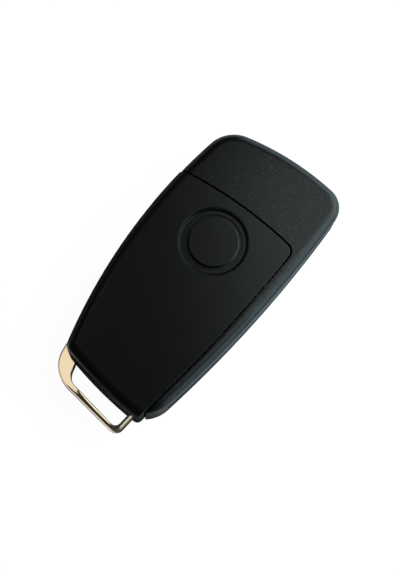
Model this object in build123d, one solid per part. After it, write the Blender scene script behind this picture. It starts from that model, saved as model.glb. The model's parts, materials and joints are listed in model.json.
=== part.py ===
from build123d import *
import math
import os

# Flip-type car key fob shell, millimetres.
# It lies on its button face: +Z is the back that carries the badge seat, +Y the head with
# the flip pivot, -Y the key-ring loop. The origin is the middle of the box on the floor.

# Overall form: each side of the body is one long arc, given by its widest point and radius
body_thickness = 15.0
side_left_x = -19.85
side_left_y = 9.2
side_left_radius = 149.3
side_right_x = 20.0
side_right_y = 25.6
side_right_radius = 327.0
head_top_x = 7.0
head_top_y = 41.8
head_top_radius = 72.2
foot_x = 11.7
foot_radius = 107.9
corner_head_left = 9.0
corner_head_right = 6.0
corner_arm_end = 9.0
corner_module_left = 3.0
back_round = 2.6
front_round = 2.2

# Seams between the L-shaped flip housing and the transmitter module
head_length = 18.9
arm_width = 3.7
seam_cross_x = 1.5
seam_cross_y = head_top_y - head_length
seam_cross_radius = 108.8
seam_long_x = side_right_x - arm_width
seam_long_y = 29.6
seam_long_radius = 451.2
seam_corner_radius = 2.4
seam_end_radius = 1.6
seam_gap = 0.36
seam_edge = 0.2
module_proud = 0.2

# Walls and levels
skin = 1.6
housing_wall = 1.6
module_wall = 1.5
shelf = 1.4
housing_split_z = 7.5
module_split_z = 7.5
cover_gap = 0.1

# Flip pivot and blade, in the frame of the pivot: the blade is stored along its -Y, and the
# body is as long as the blade asks for
pivot_from_side = 9.05
pivot_from_top = 10.2
pivot_x = side_right_x - pivot_from_side
pivot_y = head_top_y - pivot_from_top
foot_margin = 8.4
blade_lean = 4.7
blade_inner_offset = 0.5
blade_width = 8.4
blade_thickness = 2.2
blade_reach = 59.4
foot_y = pivot_y - blade_reach - foot_margin
blade_root = 1.5
blade_tip_taper = 5.0
blade_tip_width = 3.2
blade_groove_width = 2.4
blade_groove_depth = 0.6
blade_side_clearance = 0.4
blade_face_clearance = 0.3
flip_angle_lead = 0.4
hub_radius = 6.6
hub_end_clearance = 0.2
hub_running_fit = 0.05
hub_fork = 1.1
hub_cup_wall = 1.25
neck_length = 8.0
neck_edge = 0.1
bearing_wall = 1.3
roll_pin_radius = 0.8
roll_pin_fit = 0.02
roll_pin_slit = 0.3
roll_pin_from_root = 4.25
spring_post_radius = 2.5

# Release button and its springs
release_cap_radius = 4.7
release_cap_recess = 0.3
release_flange = 0.5
release_flange_thickness = 0.8
release_flange_gap = 0.1
release_fit = 0.08
release_dish = 3.2
release_dish_depth = 0.35
release_wall = 1.0
ring_width = 1.5
ring_height = 1.1
ring_recess = 0.1
press_spring_wire = 0.5
press_spring_turns = 4
spring_side_gap = 0.15
spring_end_gap = 0.1
flip_spring_wire = 0.7
flip_spring_turns = 3

# Badge seat in the rear cover
badge_x = -1.13
badge_y = 11.13
badge_rim_radius = 8.9
badge_ledge_radius = 7.4
badge_disc_radius = 6.55
badge_wall_slope = 0.6
badge_ledge_depth = 1.0
badge_groove_depth = 1.45
badge_disc_depth = 0.35
badge_edge = 0.18
badge_backing = 1.1

# Buttons, their trim plate and the rubber mat behind them
button_x = -2.4
button_y = -1.0
button_pitch = 13.4
button_names = ("lock_button", "unlock_button", "trunk_button")
button_length = 14.8
button_width = 9.8
button_corner = 3.4
button_recess = 0.25
button_fit = 0.15
button_flange = 0.8
button_flange_thickness = 0.6
button_travel = 0.6
button_edge = 0.5
button_seat_gap = 0.05
well_clearance = 0.3
collar_wall = 0.9
mat_gap = 0.15
mat_thickness = 0.6
mat_pad_height = 0.5
mat_pad_inset = 2.45
trim_margin_x = 2.4
trim_margin_y = 2.6
trim_thickness = 0.7
trim_fit = 0.1
trim_recess = 0.1
ledge_width = 1.1

# Board frame inside the module
frame_height = 3.0
frame_wall = 1.6
inner_clearance = 0.3

# Pegs that hold the rear cover on its posts
peg_radius = 0.9
peg_length = 2.6
peg_fit = 0.06
post_radius = 1.9
post_head_left_in = 4.25
post_head_left_down = 5.3
post_head_right_in = 3.75
post_head_right_down = 3.7
post_foot_left_in = 7.25
post_foot_left_up = 12.6
post_foot_right_in = 8.55
post_foot_right_up = 10.2
post_places = (
    (side_left_x + post_head_left_in, seam_cross_y - post_head_left_down),
    (pivot_x - post_head_right_in, seam_cross_y - post_head_right_down),
    (side_left_x + post_foot_left_in, foot_y + post_foot_left_up),
    (pivot_x - post_foot_right_in, foot_y + post_foot_right_up))

# Key-ring loop: its corner points are given from the body's centre line and its foot
loop_z = 5.2
loop_height = 4.7
loop_edge = 0.6
loop_pocket_gap = 0.15
loop_top = 7.6
loop_slot_top = 3.4
loop_outer = (
    (-12.9, loop_top), (-15.05, 5.8), (-13.9, -3.4), (9.65, -6.1), (10.4, 2.8), (8.8, 5.8))
loop_outer_radii = (1.2, 1.2, 8.0, 1.9, 1.2, 1.2)
loop_slot = (
    (-10.2, loop_slot_top), (-8.6, -2.25), (8.3, -4.65), (8.85, 1.8), (7.6, loop_slot_top))
loop_slot_radii = (0.8, 3.6, 1.5, 0.6, 0.6)
loop_rib_width = 1.2

# Screws
housing_screw_from_side = 5.85
housing_screw_from_top = 9.2
housing_screw_x = side_left_x + housing_screw_from_side
housing_screw_y = head_top_y - housing_screw_from_top
housing_screw_head_radius = 1.9
housing_screw_head_height = 1.1
housing_screw_radius = 0.9
housing_screw_reach = 11.4
housing_boss_radius = 2.5
housing_boss_foot = 0.8
screw_fit = 0.02
screw_clearance = 0.15
screw_sink = 0.3
drive_slot_width = 0.5
drive_slot_depth = 0.5
module_screw_x = -7.0
module_screw_z = 4.6
module_screw_radius = 0.8
module_screw_head_radius = 1.6
module_screw_head_height = 1.0
module_screw_reach = 6.0
module_screw_driver_room = 3.3
screw_boss_cap = 0.8
screw_boss_root = 0.5

# Locating tongue of the module, and the transponder pocket in the head
tongue_x = 0.2
tongue_width = 5.0
tongue_z = 4.1
tongue_thickness = 1.8
tongue_reach = 2.9
tongue_fit = 0.1
pocket_x = -5.4
pocket_from_top = 8.2
pocket_y = head_top_y - pocket_from_top
pocket_length = 12.0
pocket_width = 7.4
pocket_wall = 0.8
pocket_rim_z = 6.4
lid_thickness = 0.8
lid_step = 0.6
lid_fit = 0.1

# How far cuts run past what they cut, how far joined shapes sink in, spare depth of blind bores
far = 200.0
over = 1.0
sunk = 0.1
touch = 0.01
blind_room = 0.4

# Values worked out from the ones above
loop_top_y = foot_y + loop_top
pivot_frame = Location((pivot_x, pivot_y, 0), (0, 0, -blade_lean))
blade_outer_offset = blade_inner_offset + blade_width
blade_low_z = housing_split_z - blade_thickness / 2
blade_high_z = housing_split_z + blade_thickness / 2
slot_low_z = blade_low_z - blade_face_clearance
slot_high_z = blade_high_z + blade_face_clearance
neck_low_z = blade_low_z - hub_fork
neck_high_z = blade_high_z + hub_fork
neck_slot_low_z = neck_low_z - blade_face_clearance
neck_slot_high_z = neck_high_z + blade_face_clearance
hub_low_z = skin + hub_end_clearance
hub_high_z = body_thickness - skin - hub_end_clearance
hub_cup_radius = hub_radius - hub_cup_wall
neck_sweep = math.hypot(neck_length, blade_outer_offset) + blade_side_clearance
back_inside_z = body_thickness - skin
groove_wall_offset = blade_inner_offset - blade_side_clearance
cover_low_z = module_split_z + cover_gap
button_seat_z = skin + button_seat_gap
mat_z = button_seat_z + button_flange_thickness + button_travel + mat_gap


def disc(x, y, radius):
    return Pos(x, y) * Circle(radius)


def left_disc(inset):
    return disc(side_left_x + side_left_radius, side_left_y, side_left_radius - inset)


def right_disc(inset):
    return disc(side_right_x - side_right_radius, side_right_y, side_right_radius - inset)


def top_disc(inset):
    return disc(head_top_x, head_top_y - head_top_radius, head_top_radius - inset)


def foot_disc(inset):
    return disc(foot_x, foot_y + foot_radius, foot_radius - inset)


def cross_seam_disc(inset):
    return disc(seam_cross_x, seam_cross_y - seam_cross_radius, seam_cross_radius - inset)


def long_seam_disc(inset):
    return disc(seam_long_x - seam_long_radius, seam_long_y, seam_long_radius - inset)


def rounded(face, corners):
    """A face with the vertex nearest to each named place rounded to its radius."""
    for x, y, radius in corners:
        vertex = min(face.vertices(), key=lambda v: (Vector(v) - Vector(x, y, 0)).length)
        face = fillet(vertex, radius)
    return face


def body_outline(inset=0.0):
    """The outline of head, arm and foot, drawn in by an inset."""
    face = left_disc(inset) & right_disc(inset) & top_disc(inset) & foot_disc(inset)
    return rounded(face, (
        (side_left_x, head_top_y, corner_head_left - inset),
        (side_right_x, head_top_y, corner_head_right - inset),
        (side_right_x, foot_y, corner_arm_end - inset),
    ))


def module_outline(inset=0.0):
    """The outline of the transmitter module; a negative inset grows it."""
    face = left_disc(inset - module_proud) & foot_disc(inset)
    face = face & cross_seam_disc(inset) & long_seam_disc(inset)
    least = module_wall / 5
    return rounded(face, (
        (seam_long_x, seam_cross_y, max(seam_corner_radius - inset, least)),
        (seam_long_x, foot_y, max(seam_end_radius - inset, least)),
        (side_left_x, foot_y, max(corner_module_left - inset, least)),
    ))


def slab(face, low, high):
    return Pos(0, 0, low) * extrude(face, amount=high - low)


def block(x_low, x_high, y_low, y_high, z_low, z_high):
    centre = Pos((x_low + x_high) / 2, (y_low + y_high) / 2, (z_low + z_high) / 2)
    return centre * Box(x_high - x_low, y_high - y_low, z_high - z_low)


def rod(x, y, radius, z_low, z_high):
    return Pos(x, y, (z_low + z_high) / 2) * Cylinder(radius, z_high - z_low)


def tube(x, y, inner, outer, z_low, z_high):
    return rod(x, y, outer, z_low, z_high) - rod(x, y, inner, z_low, z_high)


def in_pivot_frame(x_low, x_high, y_low, y_high, z_low, z_high):
    return pivot_frame * block(x_low, x_high, y_low, y_high, z_low, z_high)


def round_rectangle(x, y, length, width, corner):
    return Pos(x, y) * RectangleRounded(length, width, corner)


def edges_round_level(solid, z):
    """The edges that lie wholly in one level."""
    flat = []
    for edge in solid.edges():
        box = edge.bounding_box()
        if abs(box.min.Z - z) < touch and abs(box.max.Z - z) < touch:
            flat.append(edge)
    return flat


def pebble(face):
    """A slab of the full thickness with its back and front edges rounded."""
    solid = slab(face, 0, body_thickness)
    solid = fillet(edges_round_level(solid, body_thickness), back_round)
    return fillet(edges_round_level(solid, 0), front_round)


def half_space_z(z_low, z_high):
    return block(-far, far, -far, far, z_low, z_high)


def swept_slot(low, high):
    """What the blade sweeps as it turns from the arm round the right side to the top."""
    inner = blade_inner_offset - blade_side_clearance
    outer = blade_outer_offset + blade_side_clearance
    stored = in_pivot_frame(inner, far, -blade_reach - blade_side_clearance, far, low, high)
    opened = in_pivot_frame(-outer, far, -flip_angle_lead, far, low, high)
    return stored + opened


def neck_slot():
    """What the hub's fork sweeps, which is thicker than the blade."""
    around = rod(pivot_x, pivot_y, neck_sweep, neck_slot_low_z, neck_slot_high_z)
    return swept_slot(neck_slot_low_z, neck_slot_high_z) & around


def head_cavity(low, high):
    """The hollow of the head, inside its outer walls and the wall along the cross seam."""
    face = body_outline(housing_wall) - module_outline(-seam_gap - housing_wall)
    head_floor = seam_cross_y + seam_gap + housing_wall
    solid = slab(face, low, high)
    arm_side = block(0, far, -far, head_floor - seam_corner_radius, low - over, high + over)
    return keep_largest(solid - arm_side)


def keep_largest(shape):
    return max(shape.solids(), key=lambda solid: solid.volume)


def housing_block():
    """The L of head and arm before it is split and hollowed."""
    seam = module_outline(-seam_gap)
    solid = keep_largest(pebble(body_outline()) - slab(seam, -over, body_thickness + over))
    return soften_seam(solid, seam)


def soften_seam(solid, outline):
    """Round a seam's edge, which runs on from the back down the sides and across the front."""
    level = [Pos(0, 0, body_thickness) * edge for edge in outline.edges()]
    seam = []
    for edge in edges_round_level(solid, body_thickness):
        if min(other.distance_to(edge @ 0.5) for other in level) < touch:
            seam.append(edge)
    return fillet(seam, seam_edge)


def flip_housing_back():
    """Back shell of head and arm, with the upper bearing ring and the spring's post."""
    solid = housing_block() & half_space_z(housing_split_z, body_thickness + over)
    solid = solid - head_cavity(housing_split_z - over, back_inside_z)
    ring_low = neck_slot_high_z + blade_face_clearance
    ring_inner = hub_radius + hub_running_fit
    solid = solid + tube(pivot_x, pivot_y, ring_inner, ring_inner + bearing_wall, ring_low, back_inside_z)
    solid = solid - rod(pivot_x, pivot_y, ring_inner, housing_split_z, back_inside_z)
    solid = solid + rod(pivot_x, pivot_y, spring_post_radius, ring_low, back_inside_z)
    solid = solid + rod(
        housing_screw_x, housing_screw_y, housing_boss_radius, housing_split_z, back_inside_z)
    solid = solid - rod(
        housing_screw_x, housing_screw_y, housing_screw_radius + screw_fit, housing_split_z - over,
        housing_screw_reach + blind_room)
    solid = solid - swept_slot(housing_split_z - over, slot_high_z)
    solid = solid - neck_slot()
    return keep_largest(solid)


def flip_housing_front():
    """Front shell of head and arm, with the lower bearing ring and the release button's hole."""
    solid = housing_block() & half_space_z(-over, housing_split_z)
    solid = solid - head_cavity(skin, housing_split_z + over)
    ring_high = neck_slot_low_z - blade_face_clearance
    ring_inner = hub_radius + hub_running_fit
    solid = solid + tube(pivot_x, pivot_y, ring_inner, ring_inner + bearing_wall, skin, ring_high)
    solid = solid - rod(pivot_x, pivot_y, ring_inner, skin, housing_split_z)
    solid = solid - rod(pivot_x, pivot_y, release_cap_radius + release_fit, -over, skin + over)
    solid = solid - rod(pivot_x, pivot_y, release_cap_radius + ring_width, -over, ring_recess + ring_height)
    solid = solid + screw_boss_front()
    solid = solid - housing_screw_hole()
    solid = solid + transponder_pocket()
    solid = solid + module_screw_boss()
    solid = solid - module_screw_hole()
    solid = solid - tongue(tongue_fit)
    solid = solid - swept_slot(slot_low_z, housing_split_z + over)
    solid = solid - neck_slot()
    return keep_largest(solid)


def screw_boss_front():
    boss = rod(housing_screw_x, housing_screw_y, housing_boss_radius, skin, housing_split_z)
    collar = rod(
        housing_screw_x, housing_screw_y, housing_boss_radius + housing_boss_foot, skin,
        skin + housing_screw_head_height)
    return boss + collar


def housing_screw_hole():
    shank = housing_screw_radius + screw_clearance
    head = housing_screw_head_radius + screw_clearance
    hole = rod(housing_screw_x, housing_screw_y, shank, -over, housing_split_z + over)
    sink = rod(housing_screw_x, housing_screw_y, head, -over, screw_sink + housing_screw_head_height)
    return hole + sink


def housing_screw():
    """Screw that draws the two housing halves together, driven from the button side."""
    head_top = screw_sink + housing_screw_head_height
    head = rod(housing_screw_x, housing_screw_y, housing_screw_head_radius, screw_sink, head_top)
    head = fillet(edges_round_level(head, screw_sink), drive_slot_depth / 2)
    shank = rod(housing_screw_x, housing_screw_y, housing_screw_radius, head_top, housing_screw_reach)
    screw = head + shank
    for turn in (0, 90):
        arm = Box(2 * housing_screw_radius + drive_slot_width, drive_slot_width, 2 * drive_slot_depth)
        screw = screw - Pos(housing_screw_x, housing_screw_y, screw_sink) * Rot(0, 0, turn) * arm
    return screw


def transponder_pocket():
    """Open box on the head's floor that holds the immobiliser chip."""
    outer = round_rectangle(pocket_x, pocket_y, pocket_length, pocket_width, pocket_wall)
    shrink = 2 * pocket_wall
    inner = round_rectangle(
        pocket_x, pocket_y, pocket_length - shrink, pocket_width - shrink, pocket_wall / 2)
    return slab(outer - inner, skin, pocket_rim_z)


def transponder_lid():
    """Flat lid with a step that drops into the transponder pocket."""
    plate = slab(
        round_rectangle(pocket_x, pocket_y, pocket_length, pocket_width, pocket_wall),
        pocket_rim_z, pocket_rim_z + lid_thickness)
    shrink = 2 * (pocket_wall + lid_fit)
    step = slab(
        round_rectangle(pocket_x, pocket_y, pocket_length - shrink, pocket_width - shrink, pocket_wall / 2),
        pocket_rim_z - lid_step, pocket_rim_z)
    plate = fillet(edges_round_level(plate, pocket_rim_z + lid_thickness), lid_thickness / 4)
    return plate + step


def cross_seam_at(x, inset=0.0):
    """Height in Y of the module's top wall at a place along X."""
    run = x - seam_cross_x
    return seam_cross_y - seam_cross_radius + math.sqrt((seam_cross_radius - inset) ** 2 - run ** 2)


def along_y(x, z, radius, y_low, y_high):
    return Pos(x, (y_low + y_high) / 2, z) * Rot(90, 0, 0) * Cylinder(radius, y_high - y_low)


def module_screw_seat():
    """Where the inner face of the module's top wall lies behind the screw's head."""
    return cross_seam_at(module_screw_x - module_screw_head_radius, module_wall)


def module_screw_boss():
    wall_y = cross_seam_at(module_screw_x) + seam_gap
    tip = module_screw_seat() + module_screw_reach + screw_boss_cap
    boss = along_y(module_screw_x, module_screw_z, 2 * module_screw_radius, wall_y + screw_boss_root, tip)
    web = block(
        module_screw_x - module_screw_radius, module_screw_x + module_screw_radius,
        wall_y + screw_boss_root, tip, skin, module_screw_z)
    return boss + web


def module_screw_hole():
    seat = module_screw_seat()
    tip = seat + module_screw_reach + blind_room
    return along_y(module_screw_x, module_screw_z, module_screw_radius + screw_fit, seat, tip)


def module_screw():
    """Screw from inside the module, through its top wall, into the head."""
    seat = module_screw_seat()
    head = along_y(
        module_screw_x, module_screw_z, module_screw_head_radius, seat - module_screw_head_height, seat)
    shank = along_y(module_screw_x, module_screw_z, module_screw_radius, seat, seat + module_screw_reach)
    slot = block(
        module_screw_x - far, module_screw_x + far, seat - module_screw_head_height - over,
        seat - module_screw_head_height + drive_slot_depth,
        module_screw_z - drive_slot_width / 2, module_screw_z + drive_slot_width / 2)
    return head + shank - slot


def tongue(grow=0.0):
    """Tongue on the module's top wall; grown by a fit it is the window that takes it."""
    wall_y = cross_seam_at(tongue_x)
    half = tongue_width / 2 + grow
    rise = tongue_thickness / 2 + grow
    return block(
        tongue_x - half, tongue_x + half, wall_y - module_wall / 2, wall_y + tongue_reach + grow,
        tongue_z - rise, tongue_z + rise)


def module_block():
    """The module before it is split and hollowed: rounded outside, softened along the seams."""
    wide = left_disc(-module_proud) & foot_disc(0) & Rectangle(far, far)
    wide = rounded(wide, ((side_left_x, foot_y, corner_module_left),))
    solid = slab(wide, 0, body_thickness)
    solid = fillet(outer_rim(solid, body_thickness), back_round)
    solid = fillet(outer_rim(solid, 0), front_round)
    seam = cross_seam_disc(0) & long_seam_disc(0)
    seam = rounded(seam, ((seam_long_x, seam_cross_y, seam_corner_radius),))
    solid = keep_largest(solid & slab(seam, -over, body_thickness + over))
    solid = soften_seam(solid, seam)
    return keep_largest(solid & slab(module_outline(), -over, body_thickness + over))


def outer_rim(solid, z):
    """The level edges of the module's curved left side, foot and the corner between them."""
    return [edge for edge in edges_round_level(solid, z) if edge.geom_type == GeomType.CIRCLE]


def bay_outline(inset=0.0):
    """The part of the module's inside that lies left of the blade's groove."""
    edge = groove_wall_offset - module_wall - inset
    side = pivot_frame * Pos(edge - far / 2, 0) * Rectangle(far, 3 * far)
    return module_outline(module_wall + inset) & side


def blade_groove(low, high):
    """Groove in the module's right side that takes the stored blade's inner part."""
    return in_pivot_frame(
        groove_wall_offset, far, -blade_reach - blade_side_clearance, far, low, high)


def button_centres():
    first = button_y + button_pitch * (len(button_names) - 1) / 2
    return [(name, button_x, first - button_pitch * index) for index, name in enumerate(button_names)]


def button_face(x, y, grow=0.0):
    return round_rectangle(x, y, button_length + 2 * grow, button_width + 2 * grow, button_corner + grow)


def trim_face(grow=0.0):
    """Outline of the trim plate that frames the three buttons."""
    length = button_length + 2 * trim_margin_x
    width = button_pitch * (len(button_names) - 1) + button_width + 2 * trim_margin_y
    corner = button_corner + trim_margin_x
    return round_rectangle(button_x, button_y, length + 2 * grow, width + 2 * grow, corner + grow)


def loop_profile(points, radii, grow=0.0):
    """A closed outline through corner points, each rounded to its own radius."""
    corners = [(x, foot_y + y) for x, y in points]
    face = make_face(Polyline(*corners, close=True))
    for (x, y), radius in zip(corners, radii):
        face = rounded(face, ((x, y, radius),))
    if grow:
        face = offset(face, amount=grow)
    return face


def loop_ring(grow, low, high):
    """The loop as a plain ring; grown it is the room that the module leaves for it."""
    outer = loop_profile(loop_outer, loop_outer_radii, grow)
    inner = loop_profile(loop_slot, loop_slot_radii, -grow)
    return slab(outer - inner, low, high)


def key_ring_loop():
    """Cast metal loop: legs and foot show, the bar that closes it lies inside the module."""
    solid = loop_ring(0, loop_z, loop_z + loop_height)
    for level in (loop_z, loop_z + loop_height):
        solid = fillet(edges_round_level(solid, level), loop_edge)
    return solid


def transmitter_front_case():
    """Tray of the module: button windows, wells, posts, the blade's shelf and the loop's seat."""
    solid = module_block() & half_space_z(-over, module_split_z)
    shelf_low = slot_low_z - shelf
    solid = solid - slab(module_outline(module_wall), skin, shelf_low)
    solid = solid - slab(bay_outline(), shelf_low - touch, module_split_z + over)
    solid = solid - blade_groove(slot_low_z, module_split_z + over)
    solid = solid + (slab(bay_outline(), skin, mat_z) - slab(bay_outline(ledge_width), skin, mat_z))
    flange = button_flange + well_clearance
    for name, x, y in button_centres():
        solid = solid + slab(button_face(x, y, flange + collar_wall) & bay_outline(), skin, mat_z)
    for name, x, y in button_centres():
        solid = solid - slab(button_face(x, y, flange), skin, mat_z + over)
        solid = solid - slab(button_face(x, y, button_fit), -over, skin + over)
    solid = solid - slab(trim_face(trim_fit), -over, trim_recess + trim_thickness)
    solid = solid + module_posts(skin - sunk, cover_low_z)
    for x, y in post_places:
        solid = solid - rod(x, y, peg_radius + peg_fit, cover_low_z - peg_length - blind_room, far)
    for x in (loop_slot[1][0], loop_slot[2][0] - loop_rib_width):
        rib = block(x, x + loop_rib_width, foot_y, loop_top_y - loop_rib_width, skin, loop_z)
        solid = solid + (rib & slab(module_outline(module_wall / 2), -over, far))
    solid = solid - loop_ring(loop_pocket_gap / 3, loop_z, module_split_z + over)
    solid = solid + tongue()
    solid = solid - module_screw_clearance()
    return keep_largest(solid)


def module_screw_clearance():
    seat = module_screw_seat()
    bore = module_screw_radius + screw_clearance
    shank = along_y(module_screw_x, module_screw_z, bore, seat - over, seat + module_screw_reach)
    head = module_screw_head_radius + screw_clearance
    return shank + along_y(module_screw_x, module_screw_z, head, seat - module_screw_driver_room, seat)


def module_posts(low, high):
    posts = [rod(x, y, post_radius, low, high) for x, y in post_places]
    return sum(posts[1:], posts[0]) & slab(module_outline(module_wall / 2), low - over, high + over)


def rear_cover():
    """Back cover of the module with the round badge seat, held by four pegs."""
    solid = module_block() & half_space_z(cover_low_z, body_thickness + over)
    shelf_high = slot_high_z + shelf
    solid = solid - slab(module_outline(module_wall), shelf_high, back_inside_z)
    solid = solid - slab(bay_outline(), cover_low_z - over, shelf_high + touch)
    solid = solid - blade_groove(cover_low_z - over, slot_high_z)
    backing = badge_rim_radius + badge_backing
    solid = solid + rod(badge_x, badge_y, backing, back_inside_z - badge_backing, back_inside_z)
    solid = solid - badge_seat()
    solid = solid + module_posts(cover_low_z, back_inside_z)
    for x, y in post_places:
        peg = rod(x, y, peg_radius, cover_low_z - peg_length, cover_low_z + over)
        solid = solid + fillet(edges_round_level(peg, cover_low_z - peg_length), peg_radius / 3)
    room = loop_z + loop_height + loop_pocket_gap
    solid = solid - loop_ring(loop_pocket_gap, cover_low_z - over, room)
    return keep_largest(solid)


def badge_seat():
    """What is cut for the badge: a rim, a ledge, and a groove round a raised disc."""
    top = body_thickness
    ledge = top - badge_ledge_depth
    groove = top - badge_groove_depth
    disc_top = top - badge_disc_depth
    wall_foot = badge_rim_radius - badge_wall_slope
    line = [
        (0, top + over), (badge_rim_radius, top + over), (badge_rim_radius, top),
        (wall_foot, ledge), (badge_ledge_radius, ledge), (badge_ledge_radius, groove),
        (badge_disc_radius, groove), (badge_disc_radius, disc_top), (0, disc_top),
    ]
    face = make_face(Plane.XZ * Polyline(*line, close=True))
    solid = revolve(face, Axis.Z)
    flare = Cone(badge_rim_radius, badge_rim_radius + badge_edge, badge_edge)
    solid = solid + Pos(0, 0, top - badge_edge / 2) * flare
    bevel = Cone(badge_disc_radius, badge_disc_radius - badge_edge, badge_edge)
    edge_ring = Cylinder(badge_disc_radius, badge_edge) - bevel
    solid = solid + Pos(0, 0, disc_top - badge_edge / 2) * edge_ring
    return Pos(badge_x, badge_y, 0) * solid


def button_cap(x, y):
    """One push cap: a face in its window and a flange that stops behind the wall."""
    top = button_seat_z + button_flange_thickness
    cap = slab(button_face(x, y), button_recess, top)
    cap = fillet(edges_round_level(cap, button_recess), button_edge)
    return cap + slab(button_face(x, y, button_flange), button_seat_z, top)


def button_trim():
    """Gloss plate let into the case round the three buttons."""
    plate = slab(trim_face(), trim_recess, trim_recess + trim_thickness)
    plate = fillet(edges_round_level(plate, trim_recess), trim_thickness / 4)
    for name, x, y in button_centres():
        plate = plate - slab(button_face(x, y, button_fit), -over, far)
    return plate


def keypad_mat():
    """Silicone mat behind the buttons, clamped at its rim by the board frame."""
    mat = slab(bay_outline(inner_clearance), mat_z, mat_z + mat_thickness)
    mat = mat - post_room()
    for name, x, y in button_centres():
        pad = slab(
            button_face(x, y, -mat_pad_inset), mat_z + mat_thickness,
            mat_z + mat_thickness + mat_pad_height)
        mat = mat + pad
    return keep_largest(mat)


def post_room(grow=0.0):
    """Room round the posts, the screw's head and the loop for what lies in the bay."""
    gap = inner_clearance + grow
    room = [rod(x, y, post_radius + gap, 0, body_thickness) for x, y in post_places]
    head = module_screw_head_radius + gap
    face = module_screw_seat() - module_screw_head_height - gap
    room.append(block(module_screw_x - head, module_screw_x + head, face, far, 0, body_thickness))
    room.append(block(-far, far, -far, loop_top_y + gap, 0, body_thickness))
    return sum(room[1:], room[0])


def board_frame():
    """Frame that stands on the mat's rim and would carry the circuit board."""
    low = mat_z + mat_thickness
    outer = bay_outline(inner_clearance)
    inner = bay_outline(inner_clearance + frame_wall)
    ring = slab(outer, low, low + frame_height)
    hollow = slab(inner, low - over, low + frame_height + over) - post_room(frame_wall)
    return keep_largest(ring - hollow - post_room())


def blade_carrier():
    """Hub of the flip blade: a cup at each end and a fork that grips the blade."""
    hub = rod(0, 0, hub_radius, hub_low_z, hub_high_z)
    neck = block(
        blade_inner_offset - neck_edge, blade_outer_offset, -neck_length, 0, neck_low_z, neck_high_z)
    neck = fillet(neck.edges().filter_by(Axis.Z).sort_by(Axis.Y)[:2], hub_fork / 2)
    hub = hub + neck
    hub = hub - rod(0, 0, hub_cup_radius, hub_low_z - over, neck_low_z)
    hub = hub - rod(0, 0, hub_cup_radius, neck_high_z, hub_high_z + over)
    fork = block(blade_inner_offset, far, -far, -blade_root, blade_low_z, blade_high_z)
    hub = hub - fork
    x, y = pin_place()
    hub = hub - rod(x, y, roll_pin_radius + roll_pin_fit, -over, far)
    return pivot_frame * hub


def pin_place():
    """Middle of the blade's root, in the pivot's frame."""
    return blade_inner_offset + blade_width / 2, -blade_root - roll_pin_from_root


def flip_blade():
    """Uncut key blade with its track groove, tapered tip and squared root."""
    middle = blade_inner_offset + blade_width / 2
    taper = (blade_width - blade_tip_width) / 2
    outline = [
        (blade_inner_offset, -blade_root), (blade_outer_offset, -blade_root),
        (blade_outer_offset, -blade_reach + blade_tip_taper), (blade_outer_offset - taper, -blade_reach),
        (blade_inner_offset + taper, -blade_reach), (blade_inner_offset, -blade_reach + blade_tip_taper),
    ]
    solid = slab(make_face(Polyline(*outline, close=True)), blade_low_z, blade_high_z)
    shank = neck_length + blade_groove_width
    half = blade_groove_width / 2
    for low, high in ((blade_low_z - over, blade_low_z + blade_groove_depth),
                      (blade_high_z - blade_groove_depth, blade_high_z + over)):
        solid = solid - block(middle - half, middle + half, -far, -shank, low, high)
    x, y = pin_place()
    solid = solid - rod(x, y, roll_pin_radius + roll_pin_fit, -over, far)
    return pivot_frame * solid


def roll_pin():
    """Slotted spring pin through fork and blade."""
    x, y = pin_place()
    pin = tube(x, y, roll_pin_radius / 2, roll_pin_radius, neck_low_z, neck_high_z)
    half = roll_pin_slit / 2
    slit = block(x, x + 2 * roll_pin_radius, y - half, y + half, neck_low_z - over, neck_high_z + over)
    return pivot_frame * (pin - slit)


def coil(radius, wire, z_low, z_high, turns):
    """Round-wire helical spring with its axis on the pivot."""
    height = z_high - z_low - wire
    path = Helix(pitch=height / turns, height=height, radius=radius)
    section = Plane(origin=path @ 0, z_dir=path % 0) * Circle(wire / 2)
    return Pos(pivot_x, pivot_y, z_low + wire / 2) * sweep(section, path=path)


def flip_spring():
    """Torsion spring in the hub's rear cup, round the housing's post."""
    radius = hub_cup_radius - flip_spring_wire / 2 - inner_clearance
    low = neck_high_z + inner_clearance
    return coil(radius, flip_spring_wire, low, back_inside_z - inner_clearance, flip_spring_turns)


def release_inner_z():
    return release_cap_recess + release_wall


def release_spring():
    """Compression spring between the release button and the hub."""
    radius = release_cap_radius - release_wall - press_spring_wire / 2 - spring_side_gap
    low = release_inner_z() + spring_end_gap
    return coil(radius, press_spring_wire, low, neck_low_z - spring_end_gap, press_spring_turns)


def release_button():
    """Round push button in the hub's front cup, with a dished face and a hollow back."""
    flange_low = hub_low_z + release_flange_gap
    flange_high = flange_low + release_flange_thickness
    cap = rod(pivot_x, pivot_y, release_cap_radius, release_cap_recess, flange_high)
    cap = fillet(edges_round_level(cap, release_cap_recess), release_wall / 2)
    flange = release_cap_radius + release_flange
    cap = cap + rod(pivot_x, pivot_y, flange, flange_low, flange_high)
    hollow = release_cap_radius - release_wall
    cap = cap - rod(pivot_x, pivot_y, hollow, release_inner_z(), far)
    ball = (release_dish ** 2 + release_dish_depth ** 2) / (2 * release_dish_depth)
    centre = release_cap_recess + release_dish_depth - ball
    return cap - Pos(pivot_x, pivot_y, centre) * Sphere(ball)


def release_ring():
    """Bright ring pressed into the head round the release button."""
    inner = release_cap_radius + release_fit
    outer = release_cap_radius + ring_width - screw_fit
    ring = tube(pivot_x, pivot_y, inner, outer, ring_recess, ring_recess + ring_height)
    return fillet(edges_round_level(ring, ring_recess), ring_height / 4)


def write_part(name, solid):
    os.makedirs("parts", exist_ok=True)
    export_step(solid, os.path.join("parts", name + ".step"))
    box = solid.bounding_box()
    print(name, len(solid.solids()), round(solid.volume, 1), box.min, box.max)


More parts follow.
